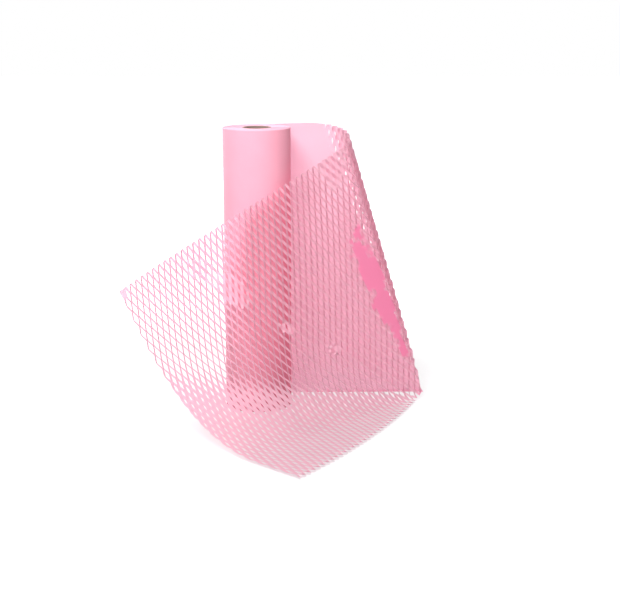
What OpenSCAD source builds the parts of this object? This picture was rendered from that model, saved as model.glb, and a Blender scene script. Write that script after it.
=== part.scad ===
// Honeycomb paper roll, standing on its end, with a length of paper drawn off it.
// The origin is on the roll's axis at its base. The opened paper stands in front of the roll, at -Y.
// The paper leaves the roll flat, turns over a fold that runs up from its foot at the right, comes
// back in front of the roll pulled open into honeycomb, and curves down onto the floor.

/* [Roll] */
// Width of the paper, which is the height of the standing roll
paper_w = 300; // [200:1:400]
// Diameter over the wound turns
roll_d = 71.4; // [50:0.2:90]
// Width of the bands of turns that show on the ends
turn_band = 2.6; // [1.5:0.1:6]
// How far every second band stands back from the end
turn_step = 0.4; // [0.2:0.1:1.5]

/* [Core] */
// Bore of the card tube
core_bore_d = 26; // [15:0.5:36]
// Wall of the card tube
core_wall = 2; // [1:0.1:4]

/* [Drawn-off paper] */
// Thickness of the flat paper between the roll and the fold
web_t = 0.8; // [0.4:0.1:1]
// How far the flat paper's outer face lies inside the roll's surface where the two join
web_sink = 0.25; // [0.1:0.05:0.6]
// How far the paper's edges stand in from the roll's two ends where it leaves the roll
edge_gap = 0.3; // [0.1:0.05:1]
// Distance from the roll's axis to the foot of the fold
foot_reach = 182.6; // [160:0.1:230]
// Direction of the foot from the roll's axis, turned from +X towards +Y
foot_bearing = 4.2; // [-5:0.1:15]
// Rise of the paper's lower edge between the roll and the fold
foot_lift = 7.9; // [4:0.1:15]

/* [Fold] */
// Lean of the fold's middle line from upright, towards the roll
fold_lean = 21; // [14:0.1:26]
// Length of the fold, up from its foot, along which it is a sharp crease
crease_run = 100; // [40:5:150]
// Clearance between the roll and the paper that comes back in front of it
roll_clearance = 3.2; // [2.5:0.1:12]
// Distance before the fold at which the slits start to open
opening_run = 24; // [10:1:40]

/* [Honeycomb] */
// How much narrower the paper gets as it opens, as a share of its width
narrowing = 0.035; // [0:0.005:0.12]
// Length of the lower edge from the foot of the fold to the free end
panel_reach = 281; // [240:1:320]
// Shift of the free end's upper corner back along the paper, for each mm of width
end_slant = 0.21; // [0.1:0.01:0.3]
// Hollow of the free end between its corners
end_hollow = 3.6; // [0:0.1:15]
// How far the lower edge bows out on the floor
edge_belly = 9.4; // [0:0.1:12]
// Half the angle of the soft bend from the upright paper to the floor, seen from the fold's foot
bend_half = 28.8; // [20:0.1:34]
// Cells side by side across the paper
cells_across = 6; // [4:1:6]
// Strands one after another along the paper
strand_count = 26; // [20:1:26]
// Length of the bridge that joins two strands, as a share of one cell's width
bridge_share = 0.27; // [0.2:0.01:0.4]
// Share of the paper's length that the openings take
open_share = 0.36; // [0.25:0.01:0.45]
// Thickness of a strand
strand_t = 1.2; // [0.9:0.1:1.6]
// Whole depth of the opened honeycomb, from the front of the ridges to the back
comb_depth = 3.8; // [3:0.1:5]

/* [Hidden] */
$fn = 128;

roll_r = roll_d/2;
core_r = core_bore_d/2 + core_wall;
up = [0, 0, 1];

// The flat paper runs as a tangent from the back of the roll to the foot of the fold.
web_r = roll_r - web_sink - web_t/2;
web_angle = asin(web_r/foot_reach);
web_heading = foot_bearing - web_angle;
web_run = sqrt(foot_reach*foot_reach - web_r*web_r);
web_dir = [cos(web_heading), sin(web_heading), 0];
web_face = cross(web_dir, up);
foot = foot_reach*[cos(foot_bearing), sin(foot_bearing), 0] + comb_depth/2*up;

// The paper that comes back stands upright and just clears the roll's front.
panel_angle = asin((roll_r + roll_clearance)/foot_reach);
panel_heading = foot_bearing + 180 + panel_angle;
panel_dir = [cos(panel_heading), sin(panel_heading), 0];
panel_face = cross(up, panel_dir);

// The fold is a cone with its tip at the foot, touching both upright faces.
between_heading = foot_bearing + 180 + (panel_angle - web_angle)/2;
between_dir = [cos(between_heading), sin(between_heading), 0];
fold_axis = sin(fold_lean)*between_dir + cos(fold_lean)*up;
fold_sine = fold_axis*web_face;
fold_cosine = sqrt(1 - fold_sine*fold_sine);
fold_turn = acos((-cos(web_angle + panel_angle) - fold_sine*fold_sine)/(fold_cosine*fold_cosine));
web_last = (fold_axis - fold_sine*web_face)/fold_cosine;
panel_first = (fold_axis + fold_sine*panel_face)/fold_cosine;
panel_down = (panel_first*up)*panel_dir - (panel_first*panel_dir)*up;

// The bend to the floor is a wider cone with the same tip, touching the upright face and the floor.
bend_sine = sin(bend_half);
bend_cosine = cos(bend_half);
bend_lean = sqrt(1 - 2*bend_sine*bend_sine);
bend_axis = bend_lean*panel_dir + bend_sine*(up + panel_face);
bend_turn = acos(-bend_sine*bend_sine/(bend_cosine*bend_cosine));
panel_last = (bend_axis - bend_sine*panel_face)/bend_cosine;
floor_first = (bend_axis - bend_sine*up)/bend_cosine;
floor_on = (bend_lean*panel_face - bend_sine*panel_dir)/bend_cosine;

// Angles at the foot, in the paper laid flat, at which one stretch gives way to the next.
fold_from = acos(-web_last*web_dir);
fold_to = fold_from + fold_sine*fold_turn;
bend_from = fold_to + acos(panel_first*panel_last);
bend_to = bend_from + bend_sine*bend_turn;

// Turns a direction about an axis.
function turned(v, axis, angle) =
    v*cos(angle) + cross(axis, v)*sin(angle) + axis*(axis*v)*(1 - cos(angle));

// Direction from the foot of the line that lies at this angle in the flat paper.
function ray(angle) =
    angle < fold_from ? sin(angle)*up - cos(angle)*web_dir :
    angle < fold_to ? turned(web_last, fold_axis, (fold_from - angle)/fold_sine) :
    angle < bend_from ? cos(angle - fold_to)*panel_first + sin(angle - fold_to)*panel_down :
    angle < bend_to ? turned(panel_last, bend_axis, (angle - bend_from)/bend_sine) :
    cos(angle - bend_to)*floor_first + sin(angle - bend_to)*floor_on;

// A spot on the paper is [along, across]: along the paper from the foot, and up across its width.
function foot_angle(spot) =
    let (angle = atan2(spot.y, -spot.x))
    angle < -90 ? angle + 360 : angle;

function on_paper(spot) = foot + norm(spot)*ray(foot_angle(spot));

// The face of the paper that looks away from the roll, turned by a small step along the ray's path.
ray_step = 0.05;
function paper_face(spot) =
    let (angle = foot_angle(spot),
         square = cross(ray(angle), ray(angle + ray_step) - ray(angle - ray_step)))
    square/norm(square);

function smooth(x) =
    let (t = min(max(x, 0), 1))
    t*t*(3 - 2*t);

// 0 in the flat paper and 1 from the fold on, where the slits are fully open.
function opened(spot) =
    smooth(1 + norm(spot)*sin(foot_angle(spot) - fold_from)/opening_run);

// The paper's lower and upper edges.
panel_w = (1 - narrowing)*paper_w;
paper_low = edge_gap - comb_depth/2;
paper_high = paper_w - edge_gap - comb_depth/2;
narrow_from = -0.45*paper_w;
narrow_run = 0.3*paper_w;

function lower_edge(along) =
    let (share = along/panel_reach)
    along < 0 ? paper_low + foot_lift*(1 + along/web_run) :
    (paper_low + foot_lift)*pow(1 - share, 2) - edge_belly*4*share*(1 - share);

function upper_edge(along) =
    let (narrowed = smooth((along - narrow_from)/narrow_run))
    (1 - narrowed)*(paper_high + foot_lift*(1 + along/web_run)) + narrowed*panel_w;

// Near its foot the fold is sharp: a spot close to its middle line is moved onto that line.
crease_share = 0.3;
fold_middle = (fold_from + fold_to)/2;
function on_crease(spot) =
    let (length = norm(spot),
         beside = abs(length*sin(foot_angle(spot) - fold_middle)))
    beside > crease_share*strand_w || length > crease_run ? spot :
    length*[-cos(fold_middle), sin(fold_middle)];

// The strands run across the paper, upright in the flat part and slanted at the free end.
comb_start = narrow_from;
strand_pitch = (panel_reach - comb_start)/strand_count;
strand_w = (1 - open_share)*strand_pitch;
strand_swing = open_share*strand_pitch/2;
bridge_w = bridge_share/cells_across;
ridge = (comb_depth - strand_t)/4;

function row_spot(start, share_across) =
    let (slanted = (start - comb_start)/(panel_reach - comb_start),
         top_along = start - slanted*end_slant*panel_w,
         across = (1 - share_across)*lower_edge(start) + share_across*upper_edge(top_along),
         level = across/panel_w,
         shift = end_slant*across + end_hollow*4*level*(1 - level))
    on_crease([start - slanted*shift, across]);

// A strand has two stations for each bridge, counted up across the paper.
bridge_count = 2*cells_across + 1;
station_count = 2*bridge_count;
function station_share(station) =
    let (middle = floor(station/2)/(bridge_count - 1))
    min(max(middle + (station % 2 == 0 ? -bridge_w : bridge_w)/2, 0), 1);

// A strand has three lines: its edge nearer the roll, its middle and its far edge.
// It swings towards the strand that the station's bridge joins it to, and tilts as the slits open.
LINES = [0, 1, 2];
function swing(strand, station) = (floor(station/2) + strand) % 2 == 0 ? -1 : 1;
function strand_spot(strand, station, edge) =
    let (side = swing(strand, station),
         start = comb_start + (strand + 0.5)*strand_pitch + side*strand_swing + (edge - 1)*strand_w/2)
    row_spot(start, station_share(station));
function strand_height(strand, station, edge, spot) =
    ridge*opened(spot)*(edge - 1 - swing(strand, station));

comb_points = [
    for (strand = [0:strand_count - 1], station = [0:station_count - 1], edge = LINES)
        let (spot = strand_spot(strand, station, edge),
             middle = on_paper(spot),
             face = paper_face(spot),
             height = strand_height(strand, station, edge, spot))
        for (side = [-1, 1])
            middle + (height + side*strand_t/2)*face
];

// Number of a point. At a bridge the far edge of a strand is the near edge of the next one.
function joined_on(strand, station) =
    swing(strand, station) > 0 && strand < strand_count - 1;
function point(strand, station, edge, side) =
    edge == 2 && joined_on(strand, station) ? point(strand + 1, station, 0, side) :
    ((strand*station_count + station)*3 + edge)*2 + side;

// Two triangles for four corners, without those that have shrunk to a line.
function patch(a, b, c, d) = [
    for (corners = [[a, b, c], [a, c, d]])
        if (corners[0] != corners[1] && corners[1] != corners[2] && corners[2] != corners[0])
            corners
];

// The slit between two strands at this stretch of stations: its middle tells whether it is open.
function slit_open(row, station) =
    let (before = floor(station/2),
         after = floor((station + 1)/2),
         middle = (before + row) % 2 == 1 ? before : after,
         start = comb_start + row*strand_pitch)
    opened(row_spot(start, middle/(bridge_count - 1))) > 0.5;
function is_bridge(row, station) = station % 2 == 0 && (station/2 + row) % 2 == 0;

function face_patches(strand, station, edge) = concat(
    patch(point(strand, station, edge + 1, 1), point(strand, station + 1, edge + 1, 1),
          point(strand, station + 1, edge, 1), point(strand, station, edge, 1)),
    patch(point(strand, station + 1, edge, 0), point(strand, station + 1, edge + 1, 0),
          point(strand, station, edge + 1, 0), point(strand, station, edge, 0)));

// A wall along a strand's near edge (0) or far edge (2).
function edge_wall(strand, station, edge) =
    let (near = [point(strand, station, edge, 0), point(strand, station, edge, 1)],
         far = [point(strand, station + 1, edge, 0), point(strand, station + 1, edge, 1)])
    edge == 0 ? patch(near[0], near[1], far[1], far[0]) : patch(near[0], far[0], far[1], near[1]);

// A slit that is still shut is filled from the far edge of one strand to the near edge of the next.
function shut_patches(row, station) = concat(
    patch(point(row - 1, station, 2, 1), point(row, station, 0, 1),
          point(row, station + 1, 0, 1), point(row - 1, station + 1, 2, 1)),
    patch(point(row - 1, station, 2, 0), point(row - 1, station + 1, 2, 0),
          point(row, station + 1, 0, 0), point(row, station, 0, 0)));

function row_patches(row, station) =
    row == 0 ? edge_wall(0, station, 0) :
    row == strand_count ? edge_wall(strand_count - 1, station, 2) :
    is_bridge(row, station) ? [] :
    slit_open(row, station) ?
        concat(edge_wall(row - 1, station, 2), edge_wall(row, station, 0)) :
    shut_patches(row, station);

// The ends of the strands and of the shut slits, along the paper's two edges.
function end_wall(low, high, flipped) =
    flipped ? patch(low[0], low[1], high[1], high[0]) : patch(low[0], high[0], high[1], low[1]);
function sides(strand, station, edge) = [for (side = [0, 1]) point(strand, station, edge, side)];
function slit_end(row, station, flipped) =
    is_bridge(row, 2*floor(station/2)) || slit_open(row, station) ? [] :
    end_wall(sides(row - 1, station, 2), sides(row, station, 0), flipped);

last_station = station_count - 1;
comb_faces = [
    for (strand = [0:strand_count - 1], station = [0:last_station - 1], edge = [0, 1])
        each face_patches(strand, station, edge),
    for (row = [0:strand_count], station = [0:last_station - 1])
        each row_patches(row, station),
    for (strand = [0:strand_count - 1], edge = [0, 1]) each concat(
        end_wall(sides(strand, 0, edge), sides(strand, 0, edge + 1), false),
        end_wall(sides(strand, last_station, edge), sides(strand, last_station, edge + 1), true)),
    for (row = [1:strand_count - 1])
        each concat(slit_end(row, 0, false), slit_end(row, last_station, true))
];

module comb() {
    polyhedron(comb_points, comb_faces, convexity = 10);
}

// The wound turns show on both ends as bands, every second one standing back a little.
band_count = max(round((roll_r - core_r)/turn_band), 1);
function band_r(band) = core_r + (roll_r - core_r)*band/band_count;
function band_step(band) = (band_count - 1 - band) % 2 == 0 ? 0 : turn_step;

module wound_turns() {
    lower_end = [for (band = [0:band_count - 1], edge = [0, 1])
        [band_r(band + edge), band_step(band)]];
    upper_end = [for (band = [band_count - 1:-1:0], edge = [1, 0])
        [band_r(band + edge), paper_w - band_step(band)]];
    rotate_extrude()
        polygon(concat(lower_end, upper_end));
}

// The flat paper reaches a little way into the first strand, thinner and shorter than the strand.
module flat_web() {
    reach = web_run + comb_start + strand_w - strand_swing/2;
    rise = foot_lift*reach/web_run;
    low = 2*edge_gap;
    high = paper_w - 2*edge_gap;
    translate(foot - web_run*web_dir - foot.z*up)
        rotate([90, 0, web_heading])
            translate([0, 0, -web_t/2])
                linear_extrude(web_t)
                    polygon([[0, low], [reach, low + rise], [reach, high + rise], [0, high]]);
}

module core_tube() {
    color("tan")
        difference() {
            cylinder(h = paper_w, r = core_r);
            translate([0, 0, -1])
                cylinder(h = paper_w + 2, d = core_bore_d);
        }
}

module honeycomb_paper() {
    color("pink")
        union() {
            wound_turns();
            flat_web();
            comb();
        }
}

core_tube();
honeycomb_paper();
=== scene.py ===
# %% [markdown]
# # A roll of honeycomb paper
# The real object is pink kraft paper with rows of short slits cut into it, wound on a card tube.
# A length has been drawn off: it leaves the roll flat, turns over a soft fold and comes back in
# front of the roll, pulled open, so that the slits have become honeycomb. Its lower part lies on
# the floor. The frame loaded here is the CAD part, in metres, and everything below is made in its
# place.

# %% Load the frame
import bpy
import math
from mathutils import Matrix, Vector


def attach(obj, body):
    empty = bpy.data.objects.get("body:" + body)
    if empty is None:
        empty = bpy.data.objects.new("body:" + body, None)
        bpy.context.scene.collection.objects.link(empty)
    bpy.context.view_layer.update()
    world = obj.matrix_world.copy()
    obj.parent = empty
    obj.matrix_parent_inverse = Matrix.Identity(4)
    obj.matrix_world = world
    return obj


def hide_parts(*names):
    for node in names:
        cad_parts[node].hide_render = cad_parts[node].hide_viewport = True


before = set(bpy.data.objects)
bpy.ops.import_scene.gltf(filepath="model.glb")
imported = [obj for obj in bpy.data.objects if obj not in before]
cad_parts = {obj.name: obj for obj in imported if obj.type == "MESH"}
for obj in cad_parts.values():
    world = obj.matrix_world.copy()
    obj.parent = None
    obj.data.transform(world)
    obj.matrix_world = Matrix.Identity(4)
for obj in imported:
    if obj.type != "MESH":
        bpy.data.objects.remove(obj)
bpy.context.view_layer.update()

UP = Vector((0, 0, 1))

# %% [markdown]
# ## Sizes
# These are the sizes of the CAD part, written in metres, because the paper here has to lie where
# the CAD paper lies. Only the slits differ: the CAD has a few large ones, and here they have
# their real size, 16 mm across the paper and about 4 mm from one row to the next.

# %% Sizes of the roll and the drawn-off paper
MM = 0.001
PAPER_W = 300 * MM
ROLL_R = 35.7 * MM
CORE_R = 15 * MM
TURN_T = 0.45 * MM
PAPER_T = 0.16 * MM
EDGE_GAP = 0.3 * MM

FOOT_REACH = 182.6 * MM
FOOT_BEARING = math.radians(4.2)
FOOT_LIFT = 7.9 * MM
FOLD_LEAN = math.radians(21)
ROLL_CLEARANCE = 3.2 * MM
BEND_HALF = math.radians(28.8)
COMB_DEPTH = 3.8 * MM

PANEL_W = 289.5 * MM
PANEL_REACH = 281 * MM
COMB_START = -135 * MM
print("roll diameter", 2 * ROLL_R, "m, paper width", PAPER_W, "m")

# %% [markdown]
# ## Writing node maths as Python
# A node tree that does a calculation is long to build by hand. `Value` wraps one output socket
# and overloads the Python operators, so `1 - mask * 2` adds its own Math nodes. `Bench` holds one
# tree, and its one method `node` adds any other kind of node. Both work for shaders and for
# geometry.

# %% Bench and Value
class Value:
    """A number or a vector that changes over the mesh: one output socket of a node."""

    def __init__(self, bench, socket):
        self.bench, self.socket = bench, socket

    def maths(self, operation, *numbers):
        return self.bench.maths(operation, *numbers)

    def __add__(self, other): return self.maths("ADD", self, other)
    def __radd__(self, other): return self.maths("ADD", other, self)
    def __sub__(self, other): return self.maths("SUBTRACT", self, other)
    def __rsub__(self, other): return self.maths("SUBTRACT", other, self)
    def __mul__(self, other): return self.maths("MULTIPLY", self, other)
    def __rmul__(self, other): return self.maths("MULTIPLY", other, self)
    def __truediv__(self, other): return self.maths("DIVIDE", self, other)
    def __rtruediv__(self, other): return self.maths("DIVIDE", other, self)
    def __pow__(self, other): return self.maths("POWER", self, other)


class Bench:
    """One node tree to build on."""

    def __init__(self, tree):
        self.tree = tree

    def node(self, kind, settings=None, inputs=None, output=0):
        made = self.tree.nodes.new(kind)
        for name, setting in (settings or {}).items():
            setattr(made, name, setting)
        for name, value in (inputs or {}).items():
            if isinstance(value, Value):
                self.tree.links.new(value.socket, made.inputs[name])
            else:
                made.inputs[name].default_value = value
        return Value(self, made.outputs[output]) if len(made.outputs) else made

    def maths(self, operation, *numbers):
        return self.node("ShaderNodeMath", {"operation": operation}, dict(enumerate(numbers)))

    def least(self, a, b): return self.maths("MINIMUM", a, b)
    def most(self, a, b): return self.maths("MAXIMUM", a, b)
    def between(self, value, low, high): return self.least(self.most(value, low), high)

    def smooth(self, value, low, high, to_low=0.0, to_high=1.0):
        return self.node("ShaderNodeMapRange", {"interpolation_type": "SMOOTHSTEP"},
                         {"Value": value, "From Min": low, "From Max": high,
                          "To Min": to_low, "To Max": to_high})

    def vector(self, x, y, z):
        return self.node("ShaderNodeCombineXYZ", None, {"X": x, "Y": y, "Z": z})

    def parts(self, vector):
        made = self.node("ShaderNodeSeparateXYZ", None, {"Vector": vector}).socket.node
        return [Value(self, made.outputs[axis]) for axis in "XYZ"]

    def blend(self, share, first, second):
        return self.node("ShaderNodeMix", {"data_type": "RGBA"}, {0: share, 6: first, 7: second},
                         output=2)

    def length(self, vector):
        return self.node("ShaderNodeVectorMath", {"operation": "LENGTH"}, {0: vector}, output=1)

    def vectors(self, operation, *vectors):
        return self.node("ShaderNodeVectorMath", {"operation": operation},
                         dict(enumerate(vectors)))


print("node helpers ready")

# %% [markdown]
# ## Node trees that make meshes
# Geometry Nodes make the paper, because it repeats one small cell and follows a curved surface.
# `new_tree` starts a tree with named inputs for its sizes. `make_mesh` gives a tree to an object
# as a modifier, sets the inputs by the identifiers of their sockets, and turns the result into a
# plain mesh, so no modifier is left on the finished piece.

# %% Starting a tree and making its mesh
SOCKET_OF = {float: "NodeSocketFloat", int: "NodeSocketInt", Vector: "NodeSocketVector",
             bpy.types.Material: "NodeSocketMaterial"}


def new_tree(name, sizes):
    """A geometry tree whose inputs are the sizes. Returns its bench and a Value for each input."""
    tree = bpy.data.node_groups.new(name, "GeometryNodeTree")
    tree.interface.new_socket("Geometry", in_out="INPUT", socket_type="NodeSocketGeometry")
    tree.interface.new_socket("Geometry", in_out="OUTPUT", socket_type="NodeSocketGeometry")
    for size_name, size in sizes.items():
        tree.interface.new_socket(size_name, in_out="INPUT", socket_type=SOCKET_OF[type(size)])
    bench = Bench(tree)
    start = tree.nodes.new("NodeGroupInput")
    given = {socket.name: Value(bench, socket) for socket in start.outputs if socket.name}
    return bench, given


def end_tree(bench, geometry, material):
    """Instances become real, the finish is set, and the tree ends."""
    real = bench.node("GeometryNodeRealizeInstances", None, {"Geometry": geometry})
    finished = bench.node("GeometryNodeSetMaterial", None,
                          {"Geometry": real, "Material": material})
    bench.node("NodeGroupOutput", None, {"Geometry": finished})


def make_mesh(name, seed_mesh, bench, sizes, sharp_from, wall=None):
    """Runs the tree on the seed mesh and returns an object with the resulting plain mesh. Edges
    past `sharp_from` degrees stay sharp, and a `wall` gives a surface its thickness."""
    piece = bpy.data.objects.new(name, seed_mesh)
    bpy.context.scene.collection.objects.link(piece)
    nodes = piece.modifiers.new("nodes", "NODES")
    nodes.node_group = bench.tree
    for item in bench.tree.interface.items_tree:
        if item.item_type == "SOCKET" and item.in_out == "INPUT" and item.name in sizes:
            size = sizes[item.name]
            nodes[item.identifier] = tuple(size) if isinstance(size, Vector) else size
    if wall:
        thick = piece.modifiers.new("thickness", "SOLIDIFY")
        thick.thickness, thick.offset = wall, 0
    graph = bpy.context.evaluated_depsgraph_get()
    mesh = bpy.data.meshes.new_from_object(piece.evaluated_get(graph), depsgraph=graph)
    piece.modifiers.clear()
    piece.data = mesh
    mesh.name = name
    mesh.shade_smooth()
    mesh.set_sharp_from_angle(angle=math.radians(sharp_from))
    triangles = sum(len(face.vertices) - 2 for face in mesh.polygons)
    print(name, "has", triangles, "triangles, materials", [m and m.name for m in mesh.materials])
    return piece


print("tree helpers ready")

# %% [markdown]
# ## Paper
# Kraft paper dyed in the pulp is matt and nearly one colour. Close to, it has short fibres, some
# a little darker, and a faint tooth that catches the light. It is thin, so light comes through
# it: a share of Translucent is mixed with the matt shader for the drawn-off sheet, and none for
# the wound turns, which have more paper behind them. The sheet is also painted a paler pink than
# the roll, as painted light for the glow of light through thin paper. Where its strips stay shut,
# inside the fold, and along its lower edge, the sheet is painted a deeper pink, as painted shade
# for the shade there. A number stored on the mesh says where, because that pattern follows the
# sheet and not the room.

# %% Paper finish
PINK = (0.95, 0.39, 0.49)
# painted light: the sheet's paler pink stands for the glow of light through thin paper
PALE_PINK = (0.98, 0.74, 0.80)
# painted shade: the deeper pink of the shaded band inside the fold and of the sheet's lower edge
PAINTED_SHADE_PINK = (0.98, 0.32, 0.52)
LIGHT_THROUGH = (0.98, 0.68, 0.78)
CUT_EDGE = (0.95, 0.48, 0.60)
SHEET_THROUGH = 0.58
# less light passes the sheet where it is painted in shade
LESS_THROUGH_IN_PAINTED_SHADE = 0.3
CUT_EDGE_HEIGHT = 0.3 * MM
CLOUDS, FIBRES = 45.0, 2600.0
CLOUD_SHARE, FIBRE_SHARE = 0.6, 0.9
DARKER, LIGHTER, LIGHTEST = 0.93, 1.05, 0.97


def with_alpha(colour):
    return (*colour, 1.0)


def paper_finish(name, colour, through, edge_height=None):
    """Dyed paper with fibres. `through` is the share of light that passes the sheet. The cut edges
    of the wound turns, at `edge_height`, are paler than the faces."""
    material = bpy.data.materials.new(name)
    material.use_nodes = True
    material.diffuse_color = with_alpha(colour)
    tree = material.node_tree
    tree.nodes.clear()
    bench = Bench(tree)
    place = bench.node("ShaderNodeTexCoord", output="Object")
    cloudy = bench.node("ShaderNodeTexNoise", None,
                        {"Vector": place, "Scale": CLOUDS, "Detail": 3.0})
    stretched = bench.node("ShaderNodeMapping", None, {"Vector": place, "Scale": (1.0, 1.0, 0.35)})
    fibres = bench.node("ShaderNodeTexNoise", None,
                        {"Vector": stretched, "Scale": FIBRES, "Detail": 4.0, "Roughness": 0.7})
    shade = bench.between(0.5 + FIBRE_SHARE * (fibres - 0.5) + CLOUD_SHARE * (cloudy - 0.5),
                          0.0, 1.0)
    darker = tuple(DARKER * v for v in colour)
    lighter = tuple(min(LIGHTER * v, LIGHTEST) for v in colour)
    tint = bench.blend(shade, with_alpha(darker), with_alpha(lighter))
    if edge_height:
        height = bench.parts(place)[2]
        at_edge = bench.smooth(height, edge_height - 2 * CUT_EDGE_HEIGHT, edge_height)
        tint = bench.blend(at_edge, tint, with_alpha(CUT_EDGE))
    if through:
        # Painted shade: a number on the mesh turns the sheet a deeper pink, and lets less light
        # through, inside the fold and along the lower edge.
        painted_shade = bench.node("ShaderNodeAttribute", {"attribute_name": "painted_shade"}, output=2)
        tint = bench.blend(painted_shade, tint, with_alpha(PAINTED_SHADE_PINK))
        through = through * (1 - LESS_THROUGH_IN_PAINTED_SHADE * painted_shade)
    tooth = bench.node("ShaderNodeBump", None,
                       {"Strength": 0.12, "Distance": 0.1 * MM, "Height": fibres})
    matt = bench.node("ShaderNodeBsdfPrincipled", None,
                      {"Base Color": tint, "Roughness": 0.85, "Specular IOR Level": 0.25,
                       "Normal": tooth})
    if through:
        glow = bench.node("ShaderNodeBsdfTranslucent", None, {"Color": with_alpha(LIGHT_THROUGH)})
        matt = bench.node("ShaderNodeMixShader", None, {0: through, 1: matt, 2: glow})
    bench.node("ShaderNodeOutputMaterial", None, {"Surface": matt})
    return material


sheet_paper = paper_finish("pink_paper_sheet", PALE_PINK, SHEET_THROUGH)
wound_paper = paper_finish("pink_paper_wound", PINK, 0.0, PAPER_W - CUT_EDGE_HEIGHT)
print("paper finishes:", sheet_paper.name, wound_paper.name)

# %% [markdown]
# ## The wound turns
# A roll seen from its end is a spiral. It could be a cylinder with rings drawn on it, but real
# turns catch the light on their edges and stand a hair higher or lower than each other. So a line
# is curled into a spiral from the card tube outwards, each turn gets its own small shift, and a
# thin upright strip with rounded edges is swept along it. The strip ends where the paper leaves
# the roll.

# %% Where the paper leaves the roll
WEB_R = ROLL_R - TURN_T / 2
web_angle = math.asin(WEB_R / FOOT_REACH)
web_heading = FOOT_BEARING - web_angle
web_dir = Vector((math.cos(web_heading), math.sin(web_heading), 0))
WEB_RUN = math.sqrt(FOOT_REACH ** 2 - WEB_R ** 2)
leave_angle = web_heading + math.pi / 2
print("the paper leaves the roll at", round(math.degrees(leave_angle), 1), "degrees and runs",
      round(WEB_RUN, 4), "m to the foot of the fold")

# %% Wound turns
turn_sizes = {"Paper width": PAPER_W, "Turn thickness": TURN_T, "Outer radius": WEB_R,
              "Turns": (WEB_R - CORE_R - TURN_T / 2) / TURN_T, "Leaving angle": leave_angle,
              "Unevenness": 0.35 * MM, "Steps": 2900, "Seed": 4.0, "Finish": wound_paper}
CHANGES_PER_TURN = 0.9
ROUNDED_SHARE = 0.42


def turns_tree():
    bench, given = new_tree("wound_turns", turn_sizes)
    line = bench.node("GeometryNodeCurvePrimitiveLine")
    stepped = bench.node("GeometryNodeResampleCurve", None,
                         {"Curve": line, "Count": given["Steps"]})
    share = bench.node("GeometryNodeSplineParameter")
    turn = share * given["Turns"]
    radius = given["Outer radius"] - (given["Turns"] - turn) * given["Turn thickness"]
    angle = given["Leaving angle"] + (given["Turns"] - turn) * (2 * math.pi)
    shift = bench.node("ShaderNodeTexNoise", {"noise_dimensions": "1D"},
                       {"W": turn * CHANGES_PER_TURN + given["Seed"], "Scale": 1.0,
                        "Detail": 3.0})
    height = given["Paper width"] / 2 + (shift - 0.5) * given["Unevenness"]
    spiral = bench.node("GeometryNodeSetPosition", None,
                        {"Geometry": stepped,
                         "Position": bench.vector(radius * bench.maths("COSINE", angle),
                                                  radius * bench.maths("SINE", angle), height)})
    upright = bench.node("GeometryNodeSetCurveNormal", {"mode": "Z_UP"}, {"Curve": spiral})
    strip = bench.node("GeometryNodeCurvePrimitiveQuadrilateral", None,
                       {"Width": given["Turn thickness"],
                        "Height": given["Paper width"] - given["Unevenness"]})
    rounded = bench.node("GeometryNodeFilletCurve", {"mode": "POLY"},
                         {"Curve": strip, "Count": 2,
                          "Radius": given["Turn thickness"] * ROUNDED_SHARE})
    swept = bench.node("GeometryNodeCurveToMesh", None,
                       {"Curve": upright, "Profile Curve": rounded, "Fill Caps": True})
    end_tree(bench, swept, given["Finish"])
    return bench


wound_turns = make_mesh("wound_turns", bpy.data.meshes.new("empty"), turns_tree(), turn_sizes,
                        sharp_from=25)

# %% [markdown]
# ## How the drawn-off sheet bends
# Paper doesn't stretch, so a sheet bends only along straight lines. Here the lines all run from
# one point, the foot of the fold on the floor. Going round that point the sheet is flat, turns
# over a cone (the fold), is flat again, turns over a wider cone (the soft bend), and lies flat on
# the floor. Each stretch is a turn about a fixed axis, so five turns, one after another, put any
# point of the flat sheet in its place. The list holds each turn's axis, where it starts and ends,
# as an angle seen from the foot in the flat sheet, and how fast it turns.

# %% The five turns about the foot of the fold
def direction(angle):
    return Vector((math.cos(angle), math.sin(angle), 0))


FOOT = FOOT_REACH * direction(FOOT_BEARING) + COMB_DEPTH / 2 * UP
panel_angle = math.asin((ROLL_R + ROLL_CLEARANCE) / FOOT_REACH)
panel_dir = direction(FOOT_BEARING + math.pi + panel_angle)
web_back = -web_dir.cross(UP)
panel_front = UP.cross(panel_dir)

between_flats = direction(FOOT_BEARING + math.pi + (panel_angle - web_angle) / 2)
fold_axis = math.sin(FOLD_LEAN) * between_flats + math.cos(FOLD_LEAN) * UP
fold_half = math.asin(-fold_axis.dot(web_back))
fold_turn = math.acos((-math.cos(web_angle + panel_angle) - math.sin(fold_half) ** 2)
                      / math.cos(fold_half) ** 2)
web_last = (fold_axis + math.sin(fold_half) * web_back) / math.cos(fold_half)
panel_first = (fold_axis + math.sin(fold_half) * panel_front) / math.cos(fold_half)

bend_sine, bend_cosine = math.sin(BEND_HALF), math.cos(BEND_HALF)
bend_lean = math.sqrt(1 - 2 * bend_sine ** 2)
bend_axis = bend_lean * panel_dir + bend_sine * (UP + panel_front)
bend_turn = math.acos(-bend_sine ** 2 / bend_cosine ** 2)
panel_last = (bend_axis - bend_sine * panel_front) / bend_cosine

fold_from = web_last.angle(-web_dir)
fold_to = fold_from + math.sin(fold_half) * fold_turn
bend_from = fold_to + panel_first.angle(panel_last)
bend_to = bend_from + bend_sine * bend_turn
TURNS = [(web_back, -math.pi / 2, fold_from, 1.0),
         (fold_axis, fold_from, fold_to, -1 / math.sin(fold_half)),
         (panel_front, fold_to, bend_from, 1.0),
         (bend_axis, bend_from, bend_to, 1 / bend_sine),
         (UP, bend_to, 1.5 * math.pi, 1.0)]
print("the stretches end at", [round(math.degrees(turn[2]), 1) for turn in TURNS], "degrees")

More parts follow.
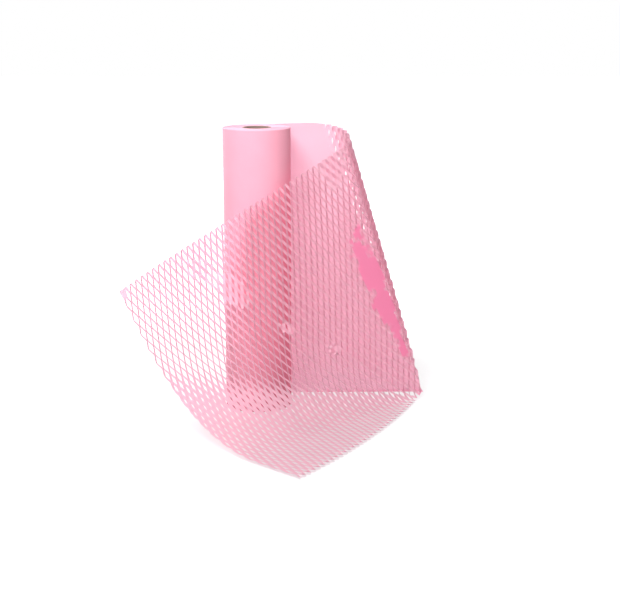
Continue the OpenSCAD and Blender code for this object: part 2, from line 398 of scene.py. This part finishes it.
# %% [markdown]
# ## One cell of honeycomb
# Slits are cut in rows, each row shifted by half a slit. Pulled open, the strips between the rows
# swing to and fro: a strip touches the one before it, crosses, touches the one after it. A repeat
# is two strips long and one slit wide. It is drawn flat and shut here, with three numbers kept on
# each point: `edge`, -1 or 1, is which edge of the strip it is on, `swing`, from -1 to 1, is
# which neighbour the strip leans to, and `bulge` is how much wider the strip looks there, because
# it twists as it crosses. The sheet's tree opens the repeat with those.

# %% The repeat of two strips
CELLS = 18
STRIPS = 102
ROW_PITCH = (PANEL_REACH - COMB_START) / STRIPS
BRIDGE = 0.08
THIRD = (1 - 2 * BRIDGE) / 3
CROSSING = [0.0, BRIDGE, BRIDGE + THIRD, 1 - BRIDGE - THIRD, 1 - BRIDGE]
LEANING = [-1.0, -1.0, -0.4, 0.4, 1.0]
RISING_BULGE, FALLING_BULGE = 0.35, 0.30


def slit_cell():
    """Two strips, each with a station wherever its lean changes, and a point on both its edges."""
    points, edges, swings, bulges, faces = [], [], [], [], []
    for strip in (0, 1):
        side = 1 if strip == 0 else -1
        stations = ([(place, side * lean, side) for place, lean in zip(CROSSING, LEANING)]
                    + [(1 + place, -side * lean, -side) for place, lean in zip(CROSSING, LEANING)]
                    + [(2.0, -side, side)])
        first = len(points)
        for place, lean, heading in stations:
            bulge = 0.0 if abs(lean) == 1 else RISING_BULGE if heading > 0 else FALLING_BULGE
            for edge in (-1.0, 1.0):
                points.append((strip + 0.5 + edge / 2, place, 0))
                edges.append(edge)
                swings.append(lean)
                bulges.append(bulge)
        for step in range(len(stations) - 1):
            low = first + 2 * step
            faces.append((low, low + 1, low + 3, low + 2))
    mesh = bpy.data.meshes.new("slit_cell")
    mesh.from_pydata(points, [], faces)
    for name, values in (("edge", edges), ("swing", swings), ("bulge", bulges)):
        mesh.attributes.new(name, "FLOAT", "POINT").data.foreach_set("value", values)
    return mesh


cell = slit_cell()
print("one repeat has", len(cell.polygons), "faces")

# %% [markdown]
# ## The drawn-off sheet
# The tree lays the repeat out on a grid, joins the strips where they touch, and then works out
# for each point how far along the paper and how far up across it the point is. The slits are shut
# in the flat part and open up at the fold, less so on the floor, where the strips lie nearly
# flat, and not at all at the free end's upper corner. The sheet's edges aren't quite parallel: it
# gets narrower as it opens, and the free end hangs back at the top. In a few places the strips
# have flipped over to the other side, which shows as small crumples, and along the fold a band of
# them stayed shut.

# %% Sizes of the sheet
sheet_sizes = {"Pairs of rows": STRIPS // 2, "Cells": CELLS, "Row pitch": ROW_PITCH,
               "Open share": 0.42, "Open share on floor": 0.03, "Ridge": 1.0 * MM,
               "Ridge on floor": 0.5 * MM, "Start": COMB_START, "Opening run": 10 * MM,
               "Fringe": 9 * MM, "Corner": 15 * MM, "Rows": float(STRIPS),
               "Web run": WEB_RUN, "Foot lift": FOOT_LIFT,
               "Low edge": EDGE_GAP - COMB_DEPTH / 2,
               "High edge": PAPER_W - EDGE_GAP - COMB_DEPTH / 2,
               "Panel width": PANEL_W, "Panel reach": PANEL_REACH, "Floor belly": 9.4 * MM,
               "End slant": 0.21, "End hollow": 3.6 * MM, "Foot": FOOT, "Waviness": 1.2 * MM,
               "Finish": sheet_paper}
print("the sheet has", STRIPS, "strips with", CELLS, "cells across each")

# %% [markdown]
# A spot on the flat sheet is given by its angle, in radians, and its distance, in metres, seen
# from the foot of the fold. So a crumple is four numbers: the angle and the distance of its
# middle, then half its width as an angle, and half its height. The band that stayed shut is given
# the same way.

# %% Crumples and the band that stayed shut
CRUMPLES = [(2.058, 0.290, 0.035, 0.020), (2.066, 0.256, 0.050, 0.026),
            (2.105, 0.181, 0.035, 0.010), (2.087, 0.122, 0.040, 0.007),
            (1.450, 0.283, 0.060, 0.022)]
CRUMPLE_FROM, CRUMPLE_TO = 0.55, 1.4
SHUT_BAND = (1.470, 0.128, 0.085, 0.082)
BAND_FROM, BAND_TO = 0.7, 1.0
RAGGEDNESS, RAGGED_SCALE, RAGGED_ACROSS = 2.4, 0.35, 40
print(len(CRUMPLES), "crumples; the shut band is", round(2000 * SHUT_BAND[3]), "mm tall")

# %% [markdown]
# The next three cells hold the steps of the calculation. First come the sheet's two edges, then
# the place of a row's point on the flat sheet, and then the five turns that bend it.

# %% Lengths along the sheet's edges
NARROWS_FROM, NARROWS_TO = -0.45 * PAPER_W, -0.15 * PAPER_W


def lower_edge(bench, given, along):
    """Height of the lower edge, measured in the flat sheet from the foot's level."""
    lift = given["Foot lift"] * (1 + along / given["Web run"])
    share = bench.between(along / given["Panel reach"], 0, 1)
    free = ((given["Low edge"] + given["Foot lift"]) * (1 - share) ** 2
            - 4 * given["Floor belly"] * share * (1 - share))
    before = bench.maths("LESS_THAN", along, 0)
    return before * (given["Low edge"] + lift) + (1 - before) * free


def upper_edge(bench, given, along):
    """The same for the upper edge, which comes in between the first strip and the fold."""
    lift = given["Foot lift"] * (1 + along / given["Web run"])
    narrowed = bench.smooth(along, NARROWS_FROM, NARROWS_TO)
    return (1 - narrowed) * (given["High edge"] + lift) + narrowed * given["Panel width"]


print("the upper edge comes in from", round(NARROWS_FROM, 3), "to", round(NARROWS_TO, 3),
      "m along the sheet")

# %% From rows and cells to lengths on the paper
def spot_on_paper(bench, given, row, level):
    """How far along the paper a point of a row is, and how far up across it."""
    start = given["Start"] + row * given["Row pitch"]
    slanted = bench.between((start - given["Start"]) / (given["Panel reach"] - given["Start"]),
                            0, 1)
    top_start = start - slanted * given["End slant"] * given["Panel width"]
    across = ((1 - level) * lower_edge(bench, given, start)
              + level * upper_edge(bench, given, top_start))
    share = across / given["Panel width"]
    shift = given["End slant"] * across + 4 * given["End hollow"] * share * (1 - share)
    return start - slanted * shift, across


def around_foot(bench, along, across):
    """Angle and distance of a spot, seen from the foot of the fold in the flat sheet."""
    angle = bench.maths("ARCTAN2", across, 0 - along)
    angle = angle + 2 * math.pi * bench.maths("LESS_THAN", angle, -math.pi / 2)
    return angle, bench.maths("SQRT", along * along + across * across)


print("there is a strip every", round(ROW_PITCH / MM, 2), "mm along the shut sheet")

# %% Bending a point of the sheet into its place
def bent(bench, given, angle, distance, height):
    """Five turns about the foot, for a point at this angle, distance and height off the sheet.
    The first turn is counted from the direction of the roll, where the angle is 0."""
    away = bench.node("ShaderNodeVectorMath", {"operation": "SCALE"},
                      {0: tuple(-web_dir), "Scale": distance})
    off = bench.node("ShaderNodeVectorMath", {"operation": "SCALE"},
                     {0: tuple(web_back), "Scale": height})
    place = bench.vectors("ADD", away, off)
    for axis, start, end, rate in TURNS:
        progress = bench.between(angle, start, end) - max(start, 0.0)
        place = bench.node("ShaderNodeVectorRotate", {"rotation_type": "AXIS_ANGLE"},
                           {"Vector": place, "Axis": tuple(axis.normalized()),
                            "Angle": progress * rate})
    return bench.vectors("ADD", place, given["Foot"])


print("the sheet bends in", len(TURNS), "turns")

# %% [markdown]
# Paper tears and folds along its strips, so a crumple's outline is ragged: noise that follows the
# rows and cells is added to the distance from its middle. The flat length next to the roll has no
# strips to open, and a plain grid is enough for it.

# %% Crumples, and the flat length
def off_middle(patch, angle, distance, ragged):
    """0 in the middle of a patch and 1 at its ragged outline."""
    bearing, reach, wide, tall = patch
    return (((angle - bearing) / wide) ** 2 + ((distance - reach) / tall) ** 2
            + RAGGEDNESS * (ragged - 0.5))


def crumpled(bench, angle, distance, ragged):
    """1 where the strips lean the usual way, down to -1 in the middle of a crumple."""
    lean = 1.0
    for crumple in CRUMPLES:
        off = off_middle(crumple, angle, distance, ragged)
        lean = bench.smooth(off, CRUMPLE_FROM, CRUMPLE_TO, -1.0, 1.0) * lean
    return lean


def plain_length(bench, given):
    """The flat length from the roll to the first row, where the slits are shut."""
    grid = bench.node("GeometryNodeMeshGrid", None,
                      {"Size X": 1.0, "Size Y": 1.0, "Vertices X": 9, "Vertices Y": 19})
    x, y, _ = bench.parts(bench.node("GeometryNodeInputPosition"))
    along = (x + 0.5) * (given["Start"] + given["Web run"]) - given["Web run"]
    level = y + 0.5
    across = ((1 - level) * lower_edge(bench, given, along)
              + level * upper_edge(bench, given, along))
    angle, distance = around_foot(bench, along, across)
    return bench.node("GeometryNodeSetPosition", None,
                      {"Geometry": grid, "Position": bent(bench, given, angle, distance, 0.0)})


print("the flat length runs", round((WEB_RUN + COMB_START) / MM, 1), "mm before the first strip")

# %% [markdown]
# Now the tree itself. The strips are joined while they lie flat, a little apart in height where
# they don't touch, so that Merge by Distance closes only the bridges. Then every point gets its
# share of opening, its relief and its place. The number that marks the painted shade, for the
# finish, is stored last.

# %% Laying out the strips
def number_on_points(bench, name):
    return bench.node("GeometryNodeInputNamedAttribute", {"data_type": "FLOAT"}, {"Name": name})


def laid_strips(bench, given, edge, swing):
    """All the strips, joined at their bridges, and each point's row and level when shut."""
    pairs, cells = given["Pairs of rows"], given["Cells"]
    grid = bench.node("GeometryNodeMeshGrid", None,
                      {"Size X": (pairs - 1) * 2, "Size Y": (cells - 1) * 2,
                       "Vertices X": pairs, "Vertices Y": cells})
    corner = bench.vector(pairs - 1, cells - 1, 0)
    laid = bench.node("GeometryNodeTransform", None, {"Geometry": grid, "Translation": corner})
    repeats = bench.node("GeometryNodeInstanceOnPoints", None,
                         {"Points": laid, "Instance": given["Geometry"]})
    strips = bench.node("GeometryNodeRealizeInstances", None, {"Geometry": repeats})
    keeper = bench.tree.nodes.new("GeometryNodeCaptureAttribute")
    keeper.capture_items.new("VECTOR", "Shut place")
    bench.tree.links.new(strips.socket, keeper.inputs["Geometry"])
    position = bench.node("GeometryNodeInputPosition")
    bench.tree.links.new(position.socket, keeper.inputs["Shut place"])
    kept = Value(bench, keeper.outputs["Geometry"])
    shut_x, cell_y, _ = bench.parts(Value(bench, keeper.outputs["Shut place"]))

    row = shut_x - edge / 2
    width = 1 - given["Open share"]
    opened_x = row + swing * given["Open share"] / 2 + edge * width / 2
    spread = bench.node("GeometryNodeSetPosition", None,
                        {"Geometry": kept,
                         "Position": bench.vector(opened_x, cell_y, edge - swing)})
    joined = bench.node("GeometryNodeMergeByDistance", None,
                        {"Geometry": spread, "Distance": 0.001})
    return joined, row, cell_y / (2 * cells)


print(STRIPS // 2 * CELLS, "repeats to lay")

# %% [markdown]
# The slits open as the fold begins, and the strips lie nearly flat from part of the way round the
# soft bend onwards. Both are smooth steps, because paper has no sudden change. At the lower edge
# the strips' ends are free, so a narrow fringe opens there even where the rest lies flat.

# %% Opening the sheet and bending it
OPENS_FROM, OPENS_TO = -0.3, 0.7
LYING_FROM, LYING_TO = 0.36, 0.58
FRINGE_RELIEF = 0.4
# how deep the painted shade along the sheet's lower edge is
SELVAGE_PAINTED_SHADE = 0.8
WAVES = 22.0


def sheet_tree():
    bench, given = new_tree("drawn_off_sheet", sheet_sizes)
    edge, swing, bulge = [number_on_points(bench, name) for name in ("edge", "swing", "bulge")]
    joined, row, level = laid_strips(bench, given, edge, swing)
    along, across = spot_on_paper(bench, given, row, level)
    angle, distance = around_foot(bench, along, across)
    past_fold = distance * bench.maths("SINE", bench.least(angle - fold_from, math.pi / 2))
    opened = bench.smooth(past_fold / given["Opening run"], OPENS_FROM, OPENS_TO)
    upright = bench.smooth(angle, bend_from + LYING_FROM * (bend_to - bend_from),
                           bend_from + LYING_TO * (bend_to - bend_from), 1.0, 0.0)
    fringed = bench.smooth(level, 0.0, given["Fringe"] / given["Panel width"], 1.0, 0.0)
    pulled = bench.most(upright, fringed * bench.smooth(angle, bend_from, bend_to))
    from_corner = bench.vector((given["Rows"] - row) * given["Row pitch"],
                               (1 - level) * given["Panel width"], 0)
    opened = opened * bench.smooth(bench.length(from_corner), given["Corner"] / 3, given["Corner"])
    ragged = bench.node("ShaderNodeTexNoise", None,
                        {"Vector": bench.vector(row, level * RAGGED_ACROSS, 0),
                         "Scale": RAGGED_SCALE, "Detail": 1.0})
    band = bench.smooth(off_middle(SHUT_BAND, angle, distance, ragged), BAND_FROM, BAND_TO,
                        1.0, 0.0)
    opened = opened * (1 - band)
    share = opened * (given["Open share on floor"]
                      + pulled * (given["Open share"] - given["Open share on floor"]))
    raised = upright + FRINGE_RELIEF * (pulled - upright)
    ridge = opened * (given["Ridge on floor"]
                      + raised * (given["Ridge"] - given["Ridge on floor"]))
    side = edge * (1 + bulge * opened)
    open_row = row + (swing * share + side * (1 - share)) / 2
    along, across = spot_on_paper(bench, given, open_row, level)
    angle, distance = around_foot(bench, along, across)
    wave = bench.node("ShaderNodeTexNoise", None,
                      {"Vector": bench.vector(along, across, 0), "Scale": WAVES, "Detail": 2.0})
    height = (ridge * (side - swing) * crumpled(bench, angle, distance, ragged)
              + 2 * opened * (1 - upright) * given["Ridge on floor"]
              + opened * upright * given["Waviness"] * (wave - 0.5))
    comb = bench.node("GeometryNodeSetPosition", None,
                      {"Geometry": joined,
                       "Position": bent(bench, given, angle, distance, height)})
    # Painted shade: the strips' ends along the lower edge, which hang in shade, are marked deeper.
    selvage_painted_shade = bench.smooth(level, 0.0, 0.5 * given["Fringe"] / given["Panel width"],
                           SELVAGE_PAINTED_SHADE, 0.0)
    # Painted shade: the shut band and the lower edge are marked to be painted a deeper pink.
    shaded = bench.node("GeometryNodeStoreNamedAttribute",
                        {"data_type": "FLOAT", "domain": "POINT"},
                        {"Geometry": comb, "Name": "painted_shade", "Value": bench.most(band, selvage_painted_shade)})
    both = bench.node("GeometryNodeJoinGeometry", None, {"Geometry": plain_length(bench, given)})
    bench.tree.links.new(shaded.socket, both.socket.node.inputs["Geometry"])
    end_tree(bench, both, given["Finish"])
    return bench


opened_sheet = make_mesh("opened_sheet", cell, sheet_tree(), sheet_sizes, sharp_from=40,
                         wall=PAPER_T)

# %% [markdown]
# ## The card tube
# The tube in the middle keeps the CAD part's shape, and only needs its finish: grey-brown card,
# wound from a strip, so a faint seam runs round it in a spiral.

# %% Card finish
CARD = (0.36, 0.25, 0.21)
CARD_DARK, CARD_LIGHT = 0.75, 1.2
SEAM_RISE = 60 * MM
SEAM_EDGE = 0.485
CARD_FLECKS = 900.0


def card_finish():
    material = bpy.data.materials.new("card_core")
    material.use_nodes = True
    material.diffuse_color = with_alpha(CARD)
    tree = material.node_tree
    tree.nodes.clear()
    bench = Bench(tree)
    place = bench.node("ShaderNodeTexCoord", output="Object")
    x, y, z = bench.parts(place)
    round_share = bench.maths("ARCTAN2", y, x) / (2 * math.pi)
    seam = bench.maths("FRACT", z / SEAM_RISE + round_share)
    in_seam = bench.smooth(bench.maths("ABSOLUTE", seam - 0.5), SEAM_EDGE, 0.5)
    flecks = bench.node("ShaderNodeTexNoise", None,
                        {"Vector": place, "Scale": CARD_FLECKS, "Detail": 4.0})
    shade = bench.between(flecks - 0.5 * in_seam, 0.0, 1.0)
    tint = bench.blend(shade, with_alpha(tuple(CARD_DARK * v for v in CARD)),
                       with_alpha(tuple(CARD_LIGHT * v for v in CARD)))
    rough = bench.node("ShaderNodeBump", None,
                       {"Strength": 0.3, "Distance": 0.3 * MM, "Height": flecks - in_seam})
    matt = bench.node("ShaderNodeBsdfPrincipled", None,
                      {"Base Color": tint, "Roughness": 0.9, "Normal": rough})
    bench.node("ShaderNodeOutputMaterial", None, {"Surface": matt})
    return material


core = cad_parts["core_tube"]
core.data.materials.clear()
core.data.materials.append(card_finish())
print("card finish on", core.name)

# %% [markdown]
# ## Floor, light and camera
# The floor is a plain plane of pale grey. For the camera some plain white is added to it, little
# near the roll, where the shadow has to stay, and more further off, so that it runs into the
# white of the background. The camera sees the world as plain white too, while as a light it is
# weak.

# %% Floor and background
def seen_white(bench):
    """1 for a ray from the camera, a mirror or glass, and 0 for a ray that lights something. Light
    that soaks through paper is a transmission ray too, but a diffuse one, so it is taken off."""
    path = bench.tree.nodes.new("ShaderNodeLightPath")
    camera, glossy, through, diffuse = [
        Value(bench, path.outputs[name])
        for name in ("Is Camera Ray", "Is Glossy Ray", "Is Transmission Ray", "Is Diffuse Ray")]
    return bench.most(bench.most(camera, glossy), through) * (1 - diffuse)


FLOOR_GREY = (0.5, 0.5, 0.5, 1.0)
WHITE = (1.0, 1.0, 1.0, 1.0)
ADDED_NEAR, NEAR_RADIUS, FAR_RADIUS = 0.46, 0.22, 0.5
FLOOR_HALF, FLOOR_LEVEL = 6.0, -0.0002
WORLD_LIGHT = 0.24


def white_floor():
    material = bpy.data.materials.new("white_floor")
    material.use_nodes = True
    tree = material.node_tree
    tree.nodes.clear()
    bench = Bench(tree)
    matt = bench.node("ShaderNodeBsdfDiffuse", None, {"Color": FLOOR_GREY})
    x, y, _ = bench.parts(bench.node("ShaderNodeTexCoord", output="Object"))
    far = bench.smooth(bench.maths("SQRT", x * x + y * y), NEAR_RADIUS, FAR_RADIUS)
    added = seen_white(bench) * (ADDED_NEAR + (1 - ADDED_NEAR) * far)
    white = bench.node("ShaderNodeEmission", None, {"Color": WHITE, "Strength": added})
    floor_look = bench.node("ShaderNodeAddShader", None, {0: matt, 1: white})
    bench.node("ShaderNodeOutputMaterial", None, {"Surface": floor_look})
    return material


floor_mesh = bpy.data.meshes.new("floor")
floor_mesh.from_pydata([(x * FLOOR_HALF, y * FLOOR_HALF, FLOOR_LEVEL)
                        for x, y in ((-1, -1), (1, -1), (1, 1), (-1, 1))], [], [(0, 1, 2, 3)])
floor = bpy.data.objects.new("floor", floor_mesh)
bpy.context.scene.collection.objects.link(floor)
floor_mesh.materials.append(white_floor())

world = bpy.data.worlds.new("studio")
world.use_nodes = True
bpy.context.scene.world = world
world.node_tree.nodes.clear()
sky = Bench(world.node_tree)
seen = seen_white(sky)
strength = WORLD_LIGHT * (1 - seen) + seen
air = sky.node("ShaderNodeBackground", None, {"Color": WHITE, "Strength": strength})
sky.node("ShaderNodeOutputWorld", None, {"Surface": air})
print("floor and background ready")

# %% [markdown]
# Four large soft lamps light the paper. The key stands high at the front left and shows the
# relief of the strips. A weak and slightly cool one behind the camera fills its shadows, and one
# overhead reaches the turns' upper edges. The fourth stands behind the roll, because paper held
# against the light glows, and much of the sheet's pale pink comes from that.

# %% Lamps
PLAIN, COOL = (1.0, 1.0, 1.0), (0.90, 0.95, 1.0)


def soft_lamp(name, place, aim, size, power, tint=PLAIN):
    lamp = bpy.data.lights.new(name, "AREA")
    lamp.shape, lamp.size, lamp.energy, lamp.color = "SQUARE", size, power, tint
    lamp_object = bpy.data.objects.new(name, lamp)
    bpy.context.scene.collection.objects.link(lamp_object)
    lamp_object.location = place
    ray = Vector(aim) - Vector(place)
    lamp_object.rotation_euler = ray.to_track_quat("-Z", "Y").to_euler()
    return lamp_object


lamps = [
    soft_lamp("key_lamp", (-0.6, -1.1, 1.7), aim=(0.02, -0.05, 0.15), size=0.7, power=31),
    soft_lamp("fill_lamp", (0.05, -1.6, 0.6), aim=(0.02, -0.05, 0.12), size=0.7, power=10,
              tint=COOL),
    soft_lamp("top_lamp", (0.1, -0.2, 1.9), aim=(0.02, -0.05, 0.0), size=0.8, power=10),
    soft_lamp("back_lamp", (-0.9, 1.6, 0.6), aim=(0.0, 0.0, 0.15), size=1.2, power=43)]
print("lamps, W:", {lamp.name: lamp.data.energy for lamp in lamps})

# %% [markdown]
# The camera's place and lens were worked out from the photograph: from there the roll's two
# edges, its upper ellipse and its base fall where the photograph has them. It stands a little
# above the roll and looks down 13 degrees.

# %% Camera
CAMERA_PLACE = (0.0556, -1.3349, 0.4297)
LOOKS_DOWN = 13.33
SENSOR, LENS = 36, 74.11

camera = bpy.data.cameras.new("camera")
camera.sensor_width = SENSOR
camera.lens = LENS
camera_object = bpy.data.objects.new("camera", camera)
bpy.context.scene.collection.objects.link(camera_object)
camera_object.location = CAMERA_PLACE
camera_object.rotation_euler = (math.radians(90 - LOOKS_DOWN), 0, 0)
bpy.context.scene.camera = camera_object
bpy.context.scene.view_settings.view_transform = "Standard"
print("camera at", tuple(camera_object.location))

# %% [markdown]
# ## Attaching the pieces
# Each piece rides on the part's only body, and the CAD paper that the pieces stand for is hidden.

# %% Finish
for piece in (wound_turns, opened_sheet):
    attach(piece, "root")
    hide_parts("honeycomb_paper")

bpy.context.view_layer.update()
